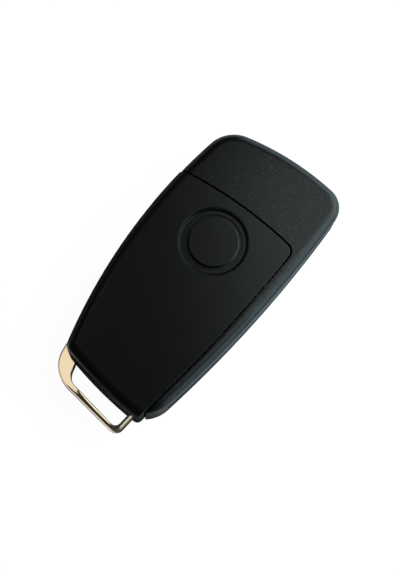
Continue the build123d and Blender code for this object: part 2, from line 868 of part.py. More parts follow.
def main():
    write_part("flip_housing_back", flip_housing_back())
    write_part("flip_housing_front", flip_housing_front())
    write_part("transmitter_front_case", transmitter_front_case())
    write_part("rear_cover", rear_cover())
    write_part("key_ring_loop", key_ring_loop())
    write_part("button_trim", button_trim())
    for name, x, y in button_centres():
        write_part(name, button_cap(x, y))
    write_part("keypad_mat", keypad_mat())
    write_part("board_frame", board_frame())
    write_part("housing_screw", housing_screw())
    write_part("module_screw", module_screw())
    write_part("transponder_lid", transponder_lid())
    write_part("blade_carrier", blade_carrier())
    write_part("flip_blade", flip_blade())
    write_part("roll_pin", roll_pin())
    write_part("flip_spring", flip_spring())
    write_part("release_spring", release_spring())
    write_part("release_button", release_button())
    write_part("release_ring", release_ring())


main()
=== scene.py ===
# %% [markdown]
# # A flip-type car key fob, closed and lying on its button side
#
# The real thing is injection-moulded plastic: an L-shaped housing that holds the flip hub, a
# lift-off rear cover with a round badge seat, and a cast metal loop for the key ring. The solids
# come from the packed frame at their real size, in metres, and each one gets its finish here.

# %% Load the frame
import json
import math

import bpy
import numpy as np
from mathutils import Matrix, Vector


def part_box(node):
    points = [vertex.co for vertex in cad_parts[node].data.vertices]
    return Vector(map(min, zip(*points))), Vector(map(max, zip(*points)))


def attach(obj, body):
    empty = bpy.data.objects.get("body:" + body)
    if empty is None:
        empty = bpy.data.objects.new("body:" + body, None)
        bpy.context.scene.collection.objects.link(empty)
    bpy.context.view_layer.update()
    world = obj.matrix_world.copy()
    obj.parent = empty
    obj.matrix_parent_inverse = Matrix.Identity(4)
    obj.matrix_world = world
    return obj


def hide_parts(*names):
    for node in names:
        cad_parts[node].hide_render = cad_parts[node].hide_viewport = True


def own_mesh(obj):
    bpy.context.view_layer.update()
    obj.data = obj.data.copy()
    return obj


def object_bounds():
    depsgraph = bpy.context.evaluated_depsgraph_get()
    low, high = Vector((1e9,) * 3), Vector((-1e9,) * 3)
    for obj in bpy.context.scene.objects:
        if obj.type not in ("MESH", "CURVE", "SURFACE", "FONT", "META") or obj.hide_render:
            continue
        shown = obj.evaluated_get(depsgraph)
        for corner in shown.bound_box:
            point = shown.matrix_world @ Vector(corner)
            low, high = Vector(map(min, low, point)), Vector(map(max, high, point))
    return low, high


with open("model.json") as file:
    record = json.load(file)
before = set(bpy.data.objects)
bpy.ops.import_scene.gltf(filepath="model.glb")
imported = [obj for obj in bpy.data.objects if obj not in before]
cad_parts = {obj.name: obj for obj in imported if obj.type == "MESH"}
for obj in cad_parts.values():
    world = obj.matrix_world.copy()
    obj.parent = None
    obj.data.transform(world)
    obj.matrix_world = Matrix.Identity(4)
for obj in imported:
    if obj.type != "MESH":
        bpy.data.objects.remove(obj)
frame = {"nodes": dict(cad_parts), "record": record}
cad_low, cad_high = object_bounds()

MM = 0.001
nodes = frame["nodes"]
print("solids in the frame:", len(nodes))

# %% [markdown]
# ## Writing a finish as an expression
#
# A finish is a graph of nodes, and the graph is easier to read as a formula. `Value` wraps one
# socket, so `1 - mask * 0.3` adds the two Math nodes it needs. Everything else, such as a noise
# or a bump, comes from `Graph.node`, which sets a node's own settings first and its sockets next.

# %% A socket as a value
class Value:
    """One output socket of a node, with arithmetic that adds Math nodes."""

    def __init__(self, graph, socket):
        self.graph = graph
        self.socket = socket

    def math(self, operation, *others):
        """A Math node that has this value as its first input."""
        return self.graph.node("ShaderNodeMath", {"operation": operation}, [self, *others])

    def __add__(self, other):
        return self.math("ADD", other)

    def __sub__(self, other):
        return self.math("SUBTRACT", other)

    def __mul__(self, other):
        return self.math("MULTIPLY", other)

    def __rsub__(self, other):
        return self.graph.node("ShaderNodeMath", {"operation": "SUBTRACT"}, [other, self])

    __radd__ = __add__
    __rmul__ = __mul__

    def between(self, low, high):
        """0 below low, 1 above high, and straight in between."""
        sockets = {"Value": self, "From Min": low, "From Max": high}
        return self.graph.node("ShaderNodeMapRange", {"clamp": True}, sockets)

    def smooth(self, low, high):
        """0 below low, 1 above high, and eased in between."""
        settings = {"interpolation_type": "SMOOTHSTEP"}
        sockets = {"Value": self, "From Min": low, "From Max": high}
        return self.graph.node("ShaderNodeMapRange", settings, sockets)


print("a value is written with + - * and", [name for name in vars(Value) if name[0] != "_"])

# %% The graph and the finish
# A Mix node has a row of sockets for each kind of data. These are the places of its factor, of its
# two colours and of the colour that comes out.
MIX_FACTOR, MIX_LOW, MIX_HIGH, MIX_RESULT = 0, 6, 7, 2


class Graph:
    """A node tree, and the ways to write what goes into it."""

    def __init__(self, tree):
        self.tree = tree

    def node(self, kind, settings=None, sockets=None, output=0):
        """Makes a node, sets its own settings, and then sets or links its sockets, which are given
        by name or in their order. Gives back the asked output as a value."""
        made = self.tree.nodes.new(kind)
        for key, value in (settings or {}).items():
            setattr(made, key, value)
        named = sockets.items() if isinstance(sockets, dict) else enumerate(sockets or [])
        for key, value in named:
            if isinstance(value, Value):
                self.tree.links.new(value.socket, made.inputs[key])
            else:
                made.inputs[key].default_value = value
        return None if output is None else Value(self, made.outputs[output])

    def place(self, turn=0.0, scale=(1, 1, 1)):
        """Object coordinates in metres, turned about Z and stretched."""
        point = self.node("ShaderNodeTexCoord", output="Object")
        sockets = {"Vector": point, "Rotation": (0, 0, turn), "Scale": scale}
        return self.node("ShaderNodeMapping", {"vector_type": "POINT"}, sockets)

    def noise(self, size, detail=2.0, roughness=0.5, place=None):
        """Soft noise from 0 to 1 whose lumps are about one size across, in metres."""
        sockets = {"Vector": place or self.place(), "Scale": 1 / size}
        sockets.update({"Detail": detail, "Roughness": roughness})
        return self.node("ShaderNodeTexNoise", None, sockets)

    def cells(self, size):
        """Distance to the middle of the nearest of many cells about one size across, as a share
        of that size."""
        sockets = {"Vector": self.place(), "Scale": 1 / size}
        return self.node("ShaderNodeTexVoronoi", {"feature": "F1"}, sockets)

    def mix(self, factor, low, high):
        """A colour that goes from low to high as the factor goes from 0 to 1."""
        low, high = (end if isinstance(end, Value) else (*end, 1.0) for end in (low, high))
        sockets = {MIX_FACTOR: factor, MIX_LOW: low, MIX_HIGH: high}
        return self.node("ShaderNodeMix", {"data_type": "RGBA"}, sockets, MIX_RESULT)

    def vector(self, operation, *inputs, output=0):
        """A Vector Math node on the given inputs."""
        return self.node("ShaderNodeVectorMath", {"operation": operation}, inputs, output)

    def part(self, vector, axis):
        """The part of a vector along one axis, X, Y or Z."""
        return self.node("ShaderNodeSeparateXYZ", None, [vector], axis)

    def ray(self, kind):
        """1 for a ray of one kind, Camera, Glossy or Transmission, and 0 for any other."""
        return self.node("ShaderNodeLightPath", output=f"Is {kind} Ray")

    def relief(self, height, depth, strength, normal=None):
        """A bump of a real depth in metres, for a height from 0 to 1. It starts from the given
        normal, or else from the mesh's own."""
        sockets = {"Strength": strength, "Distance": depth, "Height": height}
        if normal:
            sockets["Normal"] = normal
        return self.node("ShaderNodeBump", None, sockets)


class Finish(Graph):
    """A material with one Principled shader."""

    def __init__(self, name):
        self.material = bpy.data.materials.new(name)
        self.material.use_nodes = True
        super().__init__(self.material.node_tree)
        self.shader = self.tree.nodes["Principled BSDF"]

    def feed(self, **sockets):
        """Sets or links sockets of the shader; a name's spaces are written as underscores."""
        for key, value in sockets.items():
            socket = self.shader.inputs[key.replace("_", " ")]
            if isinstance(value, Value):
                self.tree.links.new(value.socket, socket)
            elif hasattr(value, "__len__"):
                socket.default_value = (*value, 1.0)
            else:
                socket.default_value = value
        return self.material


print("a finish has", len(Finish("trial").shader.inputs), "sockets")
bpy.data.materials.remove(bpy.data.materials["trial"])

# %% [markdown]
# ## A round edge that is truly round
#
# Both edges of the fob's outline are rounded with one radius each, but the solid has only a few
# facets there, and a soft gloss shows them as patches. On such an edge the normal follows from the
# height alone: its upward part grows evenly from 0 on the wall to 1 on the flat. A subdivided copy
# would only smooth the same facets, so the finish works that normal out.

# %% The normal of the rounded outline
BACK_ROUND = 2.6 * MM
FRONT_ROUND = 2.2 * MM
SEAM_EDGE = 0.2 * MM
# How closely a facet has to point the way of the worked-out normal, as the cosine of the angle
# between them, before that normal begins to count, and before it counts in full.
OUTLINE_TRUST = math.cos(math.radians(25)), math.cos(math.radians(18))
SEAM_TRUST = math.cos(math.radians(42)), math.cos(math.radians(30))
# How much a facet leans, as the level part of its normal: a flat one lies under the first value.
LEANING = 0.005, 0.03


def round_edge(finish, high, facet, back, front):
    """The normal of an edge that is round at the back and at the front. Upward part: it grows
    evenly from 0 to 1 over the height of the back round, and from -1 to 0 over that of the front
    round. Level part: the facet's direction, as long as the upward part leaves it."""
    upward = high.between(cad_high[2] - back, cad_high[2]) + high.between(0, front) - 1
    level = finish.vector("MULTIPLY", facet, (1, 1, 0))
    leans = finish.vector("LENGTH", level, output="Value").smooth(*LEANING)
    reach = (1 - upward * upward).math("MAXIMUM", 0).math("SQRT") * leans
    way = finish.vector("NORMALIZE", level)
    level_parts = [finish.part(way, axis) * reach for axis in "XY"]
    return finish.node("ShaderNodeCombineXYZ", None, [*level_parts, upward])


def rounded_normal(finish):
    """The facet's normal, swapped for the outline's own where the two nearly agree, and elsewhere
    for that of the small edge along the seam where those two do."""
    high = finish.part(finish.place(), "Z")
    facet = finish.node("ShaderNodeTexCoord", output="Normal")
    edges = ((BACK_ROUND, FRONT_ROUND, OUTLINE_TRUST), (SEAM_EDGE, SEAM_EDGE, SEAM_TRUST))
    normal, left = facet, 1
    for back, front, trust in edges:
        made = round_edge(finish, high, facet, back, front)
        agree = finish.vector("DOT_PRODUCT", facet, made, output="Value").smooth(*trust) * left
        share = finish.node("ShaderNodeCombineXYZ", None, [agree] * 3)
        change = finish.vector("MULTIPLY", finish.vector("SUBTRACT", made, facet), share)
        normal = finish.vector("ADD", normal, change)
        left = 1 - agree
    settings = {"vector_type": "NORMAL", "convert_from": "OBJECT", "convert_to": "WORLD"}
    return finish.node("ShaderNodeVectorTransform", settings, [normal])


print("rounds", BACK_ROUND / MM, "and", FRONT_ROUND / MM, "mm, seam edge", SEAM_EDGE / MM, "mm")

# %% [markdown]
# ## Grained soft-touch black
#
# Head and arm are sprayed with a soft-touch lacquer over a spark-eroded mould grain. The grain is
# a field of tiny pimples, about a third of a millimetre apart, with small glints scattered over
# them, and the lacquer spreads light widely, so this surface looks greyer than the cover beside it.

# %% Grained soft-touch finish
GRAIN = 0.36 * MM
GRAIN_FUZZ = 0.16 * MM
GRAIN_DEPTH = 0.020 * MM
GLINT = 0.42 * MM
CLOUD = 9 * MM
SOFT_TOUCH_SHADES = (0.0018, 0.0020, 0.0021), (0.0045, 0.0053, 0.0058)


def grained_black():
    """Height: a pimple in each cell, which falls evenly from its middle, and a finer fuzz. Shade:
    glints and slow clouds. A glint is where a noise is high, and there a thin coat shines."""
    finish = Finish("grained_soft_touch_black")
    pimples = 1 - finish.cells(GRAIN)
    fuzz = finish.noise(GRAIN_FUZZ, detail=3)
    cloud = finish.noise(CLOUD, detail=2)
    glint = finish.noise(GLINT, detail=1).smooth(0.54, 0.70)
    height = pimples * 0.6 + fuzz * 0.4
    return finish.feed(
        Base_Color=finish.mix(glint * 0.8 + cloud * 0.2, *SOFT_TOUCH_SHADES),
        Roughness=0.23 + fuzz * 0.10 - glint * 0.04,
        Normal=finish.relief(height, GRAIN_DEPTH, 0.36, rounded_normal(finish)),
        Coat_Weight=glint * 0.38, Coat_Roughness=0.24)


grained = grained_black()
print("made", grained.name)

# %% [markdown]
# ## Satin black
#
# Cover and case are moulded against a finely blasted steel face. It is nearly smooth, so it keeps
# a soft reflection, with a faint orange-peel wave, and broad patches where handling has changed its
# gloss and its shade a little.

# %% Satin finish
PEEL = 0.6 * MM
BLAST = 0.09 * MM
SATIN_DEPTH = 0.004 * MM
HANDLED = 7 * MM
SATIN_SHADES = (0.0030, 0.0033, 0.0031), (0.0042, 0.0045, 0.0043)


def satin_black():
    """Height: the orange peel and the finer blasting. Shade and gloss: the handled patches."""
    finish = Finish("satin_moulded_black")
    peel = finish.noise(PEEL, detail=2)
    blasted = finish.noise(BLAST, detail=2)
    handled = finish.noise(HANDLED, detail=3, roughness=0.6)
    height = peel * 0.6 + blasted * 0.4
    return finish.feed(
        Base_Color=finish.mix(handled, *SATIN_SHADES),
        Roughness=0.25 + handled * 0.03 + blasted * 0.04,
        Normal=finish.relief(height, SATIN_DEPTH, 0.5, rounded_normal(finish)))


satin = satin_black()
print("made", satin.name)

# %% [markdown]
# ## Bright loop metal
#
# The loop is die-cast zinc with a bright plating that leans to champagne. Castings are never quite
# flat, so a slow wave bends what they mirror, and the plating is a little duller in patches.

# %% Loop metal
CAST_WAVE = 2.6 * MM
CAST_FINE = 0.12 * MM
CAST_DEPTH = 0.012 * MM
DULL_PATCH = 1.2 * MM
CHAMPAGNE_SHADES = (0.80, 0.67, 0.49), (0.86, 0.73, 0.54)


def cast_bright():
    """Height: the slow wave and a little of a fine noise. Shade and gloss: patches, where a noise
    is high."""
    finish = Finish("bright_plated_casting")
    wave = finish.noise(CAST_WAVE, detail=2)
    patch = finish.noise(DULL_PATCH, detail=3).smooth(0.35, 0.75)
    fine = finish.noise(CAST_FINE, detail=2)
    return finish.feed(
        Base_Color=finish.mix(patch, *CHAMPAGNE_SHADES), Metallic=1.0,
        Roughness=0.06 + patch * 0.03 + fine * 0.02,
        Normal=finish.relief(wave * 0.9 + fine * 0.1, CAST_DEPTH, 0.5))


loop_metal = cast_bright()
print("made", loop_metal.name)

# %% [markdown]
# ## The smaller finishes
#
# Gloss trim, rubbery button caps, grey silicone, plain inner plastic, coated zinc and bright chrome
# differ in a few numbers only, so one function makes them all. Ground and turned steel share a
# second one, which can stretch its fine marks into lines.

# %% Gloss, rubber, inner plastics, coated zinc and chrome
DRIFT = 4 * MM


def plain_finish(name, dark, light, rough, grain_size, grain_depth, metallic=0.0):
    """A plastic or metal whose colour and gloss drift a little, with one fine grain."""
    finish = Finish(name)
    drift = finish.noise(DRIFT, detail=3)
    grain = finish.noise(grain_size, detail=2)
    return finish.feed(
        Base_Color=finish.mix(drift, dark, light), Metallic=metallic,
        Roughness=drift * 0.08 + grain * 0.05 + rough,
        Normal=finish.relief(grain, grain_depth, 0.6))


gloss = plain_finish(
    "gloss_trim_black", (0.008, 0.008, 0.009), (0.012, 0.012, 0.013),
    rough=0.10, grain_size=1.5 * MM, grain_depth=0.004 * MM)
rubber = plain_finish(
    "button_rubber_black", (0.020, 0.020, 0.021), (0.030, 0.030, 0.031),
    rough=0.60, grain_size=0.20 * MM, grain_depth=0.015 * MM)
silicone = plain_finish(
    "grey_silicone", (0.15, 0.15, 0.155), (0.21, 0.21, 0.215),
    rough=0.45, grain_size=0.30 * MM, grain_depth=0.010 * MM)
inner = plain_finish(
    "inner_moulding_black", (0.018, 0.018, 0.018), (0.028, 0.028, 0.028),
    rough=0.45, grain_size=0.25 * MM, grain_depth=0.012 * MM)
coated = plain_finish(
    "coated_zinc_black", (0.030, 0.030, 0.032), (0.048, 0.048, 0.050),
    rough=0.38, grain_size=0.35 * MM, grain_depth=0.014 * MM, metallic=0.4)
bright = plain_finish(
    "bright_chrome", (0.68, 0.68, 0.69), (0.78, 0.78, 0.79),
    rough=0.07, grain_size=0.9 * MM, grain_depth=0.003 * MM, metallic=1.0)
print("made", *(finish.name for finish in (gloss, rubber, silicone, inner, coated, bright)))

# %% Ground and turned steel
GRINDING = 1 * MM
GRINDING_DEPTH = 0.006 * MM
STAIN = 5 * MM
STEEL_SHADES = (0.50, 0.49, 0.47), (0.66, 0.65, 0.63)
BLADE_LEAN = math.radians(4.7)


def ground_steel(name, turn, along, across):
    """Steel whose lines are a noise that changes slowly along them and fast across. With both
    rates the same, its fine marks have no direction."""
    finish = Finish(name)
    lines = finish.noise(GRINDING, detail=3, place=finish.place(turn, (across, along, across)))
    stain = finish.noise(STAIN, detail=3)
    return finish.feed(
        Base_Color=finish.mix(stain, *STEEL_SHADES), Metallic=1.0,
        Roughness=0.22 + lines * 0.16 + stain * 0.05,
        Normal=finish.relief(lines, GRINDING_DEPTH, 0.6))


blade_steel = ground_steel("ground_blade_steel", turn=-BLADE_LEAN, along=0.05, across=7.0)
turned_steel = ground_steel("turned_steel", turn=0.0, along=2.5, across=2.5)
print("made", blade_steel.name, "and", turned_steel.name)

# %% [markdown]
# ## Dressing the solids
#
# Each solid keeps its own mesh. Modifiers weld its loose triangles and smooth its normals, so that
# its rounds shade evenly, and its slot gets the finish that the record asks for.

# %% Smooth normals for the solids
SHARP_OVER = math.radians(32)
WELD_WITHIN = 0.0005 * MM
LARGE_FACES_LEAD = 80


def sharp_by_angle():
    """A modifier graph that shades all faces smooth and marks edges over an angle as sharp."""
    group = bpy.data.node_groups.new("sharp_by_angle", "GeometryNodeTree")
    group.interface.new_socket("Geometry", in_out="INPUT", socket_type="NodeSocketGeometry")
    group.interface.new_socket("Geometry", in_out="OUTPUT", socket_type="NodeSocketGeometry")
    graph = Graph(group)
    solid = graph.node("NodeGroupInput")
    angle = graph.node("GeometryNodeInputMeshEdgeAngle")
    sharp = graph.node("ShaderNodeMath", {"operation": "GREATER_THAN"}, [angle, SHARP_OVER])
    sockets = {"Geometry": solid, "Shade Smooth": True}
    faces = graph.node("GeometryNodeSetShadeSmooth", {"domain": "FACE"}, sockets)
    sockets = {"Geometry": faces, "Selection": sharp, "Shade Smooth": False}
    edges = graph.node("GeometryNodeSetShadeSmooth", {"domain": "EDGE"}, sockets)
    graph.node("NodeGroupOutput", None, [edges], output=None)
    return group


def smooth_normals(solid, group):
    """Welds the loose triangles and weights each normal by area, so that flats stay flat and the
    fillets beside them are shaded round."""
    weld = solid.modifiers.new("weld", "WELD")
    weld.merge_threshold = WELD_WITHIN
    solid.modifiers.new("sharp", "NODES").node_group = group
    weighted = solid.modifiers.new("normals", "WEIGHTED_NORMAL")
    weighted.weight = LARGE_FACES_LEAD
    weighted.keep_sharp = True


by_angle = sharp_by_angle()
for solid in nodes.values():
    smooth_normals(solid, by_angle)
print("smoothed", len(nodes), "solids")

# %% Give every solid its finish
FINISH_OF_SLOT = {
    "textured_black": grained, "satin_black": satin, "gloss_black": gloss, "loop_metal": loop_metal,
    "button_rubber": rubber, "mat_silicone": silicone, "inner_plastic": inner,
    "screw_steel": turned_steel, "hub_metal": coated, "blade_steel": blade_steel, "bright_trim": bright,
}
for part in frame["record"]["subparts"]:
    solid = nodes[part["node"]]
    for slot in solid.material_slots:
        slot.material = FINISH_OF_SLOT[part["material_slot"]]

# %% [markdown]
# ## The key-ring loop
#
# The loop is one zinc casting: a ring that is open in the middle, with a wide leg on the left and a
# slim bar across the end. It could stay the plain solid, but a mirror finish shows every facet, and
# the real ring has a face that slopes towards its slot. So it is worked out as a surface here: one
# parameter runs round the ring, the other round its section. Both outlines are the solid's, but for
# one outer corner, which is rounder here, so that the ring stays inside the solid's box.

# %% The outlines of the ring
LOOP_LOW, LOOP_HIGH = (np.array(corner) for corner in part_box("key_ring_loop"))
RING_OUTER = MM * np.array(
    ((-12.9, 7.6), (-15.05, 5.8), (-13.9, -3.4), (9.65, -6.1), (10.4, 2.8), (8.8, 5.8)))
RING_OUTER_RADII = MM * np.array((1.2, 1.2, 8.0, 2.3, 1.2, 1.2))
RING_SLOT = MM * np.array(((-10.2, 3.4), (-8.6, -2.25), (8.3, -4.65), (8.85, 1.8), (7.6, 3.4)))
RING_SLOT_RADII = MM * np.array((0.8, 3.6, 1.5, 0.6, 0.6))
FOOT_Y = LOOP_HIGH[1] - RING_OUTER[0, 1]
RING_MIDDLE = MM * np.array((-0.6, -0.4))
RING_STEPS = 480
ARC_POINTS = 25


def outline(corners, radii):
    """Points of a convex outline with rounded corners, spread by their angle about the middle.
    Each corner is an arc whose centre lies radius / sin(half the corner's angle) along the
    corner's bisector; between arcs the outline is straight."""
    before = np.roll(corners, 1, axis=0) - corners
    after = np.roll(corners, -1, axis=0) - corners
    before /= np.linalg.norm(before, axis=1)[:, None]
    after /= np.linalg.norm(after, axis=1)[:, None]
    half = np.arccos((before * after).sum(axis=1)) / 2
    bisector = before + after
    bisector /= np.linalg.norm(bisector, axis=1)[:, None]
    centre = corners + bisector * (radii / np.sin(half))[:, None]
    swing = np.pi / 2 - half
    sweep = np.linspace(-1, 1, ARC_POINTS)[None, :] * swing[:, None]
    turn = np.arctan2(-bisector[:, 1], -bisector[:, 0])[:, None] + sweep
    arcs = centre[:, None] + radii[:, None, None] * np.stack((np.cos(turn), np.sin(turn)), axis=2)
    points = arcs.reshape(-1, 2)
    angle = np.arctan2(*(points - RING_MIDDLE).T[::-1])
    order = np.argsort(angle)
    wanted = np.linspace(-np.pi, np.pi, RING_STEPS, endpoint=False)
    spread = [np.interp(wanted, angle[order], line[order], period=2 * np.pi) for line in points.T]
    return np.stack(spread, axis=1)


outer_line = outline(RING_OUTER, RING_OUTER_RADII)
slot_line = outline(RING_SLOT, RING_SLOT_RADII)
ring_width = np.linalg.norm(outer_line - slot_line, axis=1)
print("the ring is", (ring_width.min() / MM).round(2), "to", (ring_width.max() / MM).round(2), "mm wide")

# %% Sizes of the ring's section
LEG_TILT = math.radians(6.0)
LEG_FALLS = math.radians(155.0)
WEDGE_TIP = MM * np.array((-4.33, -3.83))
WEDGE_START = MM * np.array((-7.05, -4.04))
STEP_ENDS = 0.8 * MM
FACE_TILT = math.radians(15.0)
FACE_WIDTH = 0.60 * MM
LEAST_CROWN = 0.03 * MM
SLOT_ROUND = 0.22 * MM
FOOT_ROUND = 0.60 * MM
# The rounded outer edge, in millimetres: what it has on the bar, and what is added at the right end
# and on the leg. The two pairs below are the places along X between which each addition grows.
EDGE_WIDTH = 0.50, 0.55, -0.15
EDGE_HEIGHT = 1.30, 1.90, -0.90
RIGHT_GROWS = 6 * MM, 9.5 * MM
LEG_GROWS = -11 * MM, -13.5 * MM
# Where rows of points lie on the face and on the crown, as shares of the way across each.
FACE_ROWS = 0.03, 0.15, 0.5, 0.85, 0.97
CROWN_ROWS = 0.02, 0.1, 0.25, 0.5, 0.75, 0.9, 0.98
CORNER_ROWS = 9
NOT_ZERO = 1e-9

leg_way = np.array((math.cos(LEG_FALLS), math.sin(LEG_FALLS)))
wedge_side = np.array((WEDGE_START[1] - WEDGE_TIP[1], WEDGE_TIP[0] - WEDGE_START[0]))
wedge_side /= np.linalg.norm(wedge_side)
outward = (outer_line - slot_line) / ring_width[:, None]
print("the leg falls", round(math.degrees(LEG_TILT)), "degrees towards", leg_way.round(2))

# %% The section of the ring
def eased(x, low, high):
    """Goes from 0 at low to 1 at high as 3 t squared less 2 t cubed, where t is the share of the
    way from low to high."""
    t = np.clip((x - low) / (high - low), 0, 1)
    return t * t * (3 - 2 * t)


def quarter(count):
    """Sine and one-minus-cosine of a quarter turn, for rounding a corner."""
    turn = np.linspace(0, np.pi / 2, count)
    return np.sin(turn), 1 - np.cos(turn)


def ring_section():
    """Distance from the slot and height, for each place along the ring and round its section: up
    the slot's wall, across a face and a crown, over an outer edge that is an ellipse quarter, down
    the outer wall and back along the bottom. The face is a narrow band on the bar; on the leg it
    reaches to the wedge line, past which the flat crown of the bar begins."""
    right = eased(outer_line[:, 0], *RIGHT_GROWS)
    left = eased(outer_line[:, 0], *LEG_GROWS)
    edge_width, edge_height = (
        (bar + at_right * right + on_leg * left) * MM
        for bar, at_right, on_leg in (EDGE_WIDTH, EDGE_HEIGHT))
    whole = ring_width - edge_width - LEAST_CROWN
    at_slot = (slot_line - WEDGE_START) @ wedge_side
    at_edge = (slot_line + outward * whole[:, None] - WEDGE_START) @ wedge_side
    share = np.where(at_edge > 0, 1, np.maximum(at_slot, 0) / np.maximum(at_slot - at_edge, NOT_ZERO))
    face = np.clip(np.where(slot_line[:, 0] < 0, share, 0) * whole, FACE_WIDTH, whole)
    low, top = LOOP_LOW[2], LOOP_HIGH[2]
    sin, rise = quarter(CORNER_ROWS)
    ones = np.ones_like(face)
    rows = []

    def add(across, height):
        rows.append((across * ones, height * ones))

    for s, r in zip(sin, rise):
        add(FOOT_ROUND * (1 - s), low + FOOT_ROUND * r)
    for s, r in zip(sin, rise):
        add(SLOT_ROUND * r, top - SLOT_ROUND * (1 - s))
    for part in FACE_ROWS:
        add(SLOT_ROUND + (face - SLOT_ROUND) * part, top)
    for part in CROWN_ROWS:
        add(face + (ring_width - edge_width - face) * part, top)
    for s, r in zip(sin, rise):
        add(ring_width - edge_width * (1 - s), top - edge_height * r)
    for s, r in zip(sin, rise):
        add(ring_width - FOOT_ROUND * r, low + FOOT_ROUND * (1 - s))
    across, height = (np.array(values) for values in zip(*rows))
    return across, height, face


def lowered(plan, across, height, face):
    """How far the top sinks: the deeper of the leg's plane, which falls evenly from the wedge's
    tip, and the narrow face, which falls evenly towards the slot. The crown keeps its height up to
    the start of the wedge, and the lower half of the section stays."""
    plane = np.maximum((plan - WEDGE_TIP) @ leg_way, 0) * math.tan(LEG_TILT)
    on_crown = eased(plan[:, :, 0], WEDGE_START[0], WEDGE_START[0] - STEP_ENDS)
    plane *= np.where(across > face, on_crown, 1)
    narrow = np.maximum(FACE_WIDTH - across, 0) * math.tan(FACE_TILT)
    return np.maximum(plane, narrow) * eased(height, (LOOP_LOW[2] + LOOP_HIGH[2]) / 2, LOOP_HIGH[2])


across, height, face = ring_section()
print("the section has", len(across), "points")

# %% Build the ring
def closed_grid(points):
    """Quads over a grid of points that closes on itself both ways, wound so that they face out
    where rows run up the inner wall and over to the outer one, and columns anticlockwise."""
    rows, columns = points.shape[:2]
    index = np.arange(rows * columns).reshape(rows, columns)
    right = np.roll(index, -1, axis=1)
    faces = np.stack((index, np.roll(index, -1, axis=0), np.roll(right, -1, axis=0), right), axis=2)
    return points.reshape(-1, 3), faces.reshape(-1, 4)


def new_piece(name, points, faces, material, body, replaced, slot):
    """A smooth mesh of the given points and faces, which rides on a body in place of a solid."""
    mesh = bpy.data.meshes.new(name)
    mesh.from_pydata(points, [], faces)
    mesh.shade_smooth()
    mesh.materials.append(material)
    piece = bpy.data.objects.new(name, mesh)
    bpy.context.scene.collection.objects.link(piece)
    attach(piece, body)
    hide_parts(replaced)
    return piece


plan = slot_line[None] + across[:, :, None] * outward[None]
level = height - lowered(plan, across, height, face)
points = np.concatenate((plan + (0, FOOT_Y), level[:, :, None]), axis=2)
loop = new_piece("plated_loop", *closed_grid(points), loop_metal, "case", "key_ring_loop", "loop_metal")
print("ring faces:", len(loop.data.polygons))

# %% [markdown]
# ## The spring under the release button
#
# A coil of drawn wire pushes the button out of the hub, and it shortens as the button goes in. Here
# the coil is worked out as a tube along a helix, in place of the solid.

# %% Coil spring
COIL_LOW, COIL_HIGH = (np.array(corner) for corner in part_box("release_spring"))
WIRE = 0.5 * MM
TURNS = 4
COIL_STEPS = 260
WIRE_POINTS = 14
# The wire's ends close over this many steps, down to a tip of this share of its area.
END_STEPS = 4
TIP_SHARE = 0.01


def coil():
    """A helix: the angle grows evenly and the height with it. The wire's section is a circle in the
    plane of the radius and the axis, and it closes to a dome at both ends."""
    middle = (COIL_LOW + COIL_HIGH) / 2
    radius = (COIL_HIGH[0] - COIL_LOW[0]) / 2 - WIRE / 2
    along = np.linspace(0, 1, COIL_STEPS)
    angle = 2 * np.pi * TURNS * along
    height = COIL_LOW[2] + WIRE / 2 + (COIL_HIGH[2] - COIL_LOW[2] - WIRE) * along
    to_end = np.minimum(along, 1 - along) * COIL_STEPS
    dome = np.sqrt(np.clip(1 - (1 - to_end / END_STEPS) ** 2, TIP_SHARE, 1))
    dome = np.where(to_end > END_STEPS, 1, dome)
    section = np.linspace(0, 2 * np.pi, WIRE_POINTS, endpoint=False)
    reach = radius + WIRE / 2 * dome[:, None] * np.cos(section)[None]
    rise = height[:, None] + WIRE / 2 * dome[:, None] * np.sin(section)[None]
    east = middle[0] + reach * np.cos(angle)[:, None]
    north = middle[1] + reach * np.sin(angle)[:, None]
    wire = np.stack((east, north, rise), axis=2)
    index = np.arange(COIL_STEPS * WIRE_POINTS).reshape(COIL_STEPS, WIRE_POINTS)
    side = np.roll(index, -1, axis=1)
    faces = np.stack((index[:-1], index[1:], side[1:], side[:-1]), axis=2).reshape(-1, 4)
    ends = index[0].tolist(), index[-1][::-1].tolist()
    return wire.reshape(-1, 3), [*faces.tolist(), *ends]


spring = new_piece("release_coil", *coil(), turned_steel, "blade_unit", "release_spring", "screw_steel")
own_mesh(spring)

# %% [markdown]
# ## Floor, light and camera
#
# The photograph is a product shot on white. The floor is a wide white sheet that also shows white to
# the camera. In a mirror it is painted shade, nearly black, with painted reflections in a few strips
# round the object. A studio is bright round the sides and dark overhead, where the camera is, so the
# world fades from the horizon upwards: that keeps a black object black on top with light rims. A soft
# box stands to the upper right, which is where the glow on head and arm comes from, and a small warm
# card is what the leg of the loop mirrors.

# %% Floor
FLOOR_HALF = 1.6
LIT_WHITE = (0.12, 0.12, 0.12)
SHOWN_WHITE = 0.968
# The cool colour painted into the floor's reflections, up from the loop.
PAINTED_REFLECTION_TINT = (0.72, 0.95, 1.05)
# Areas of the sheet round the object that glow only in a mirror: painted reflections of a lit floor,
# with painted shade between them. Each pair gives the two places, in metres along Y or across X,
# between which an edge of such an area fades.
BELOW_STARTS, BELOW_ENDS, BELOW_STOPS = (-0.065, -0.055), (-0.0430, -0.0420), (0.006, 0.013)
BESIDE_STARTS, BESIDE_ENDS, BESIDE_STOPS = (-0.035, -0.028), (-0.0170, -0.0160), (-0.036, -0.032)
RIGHT_STARTS, RIGHT_FOOT = (0.012, 0.030), (-0.050, -0.041)
ABOVE_STARTS = (0.043, 0.06)
PAINTED_TINT_STARTS = (-0.032, -0.022)


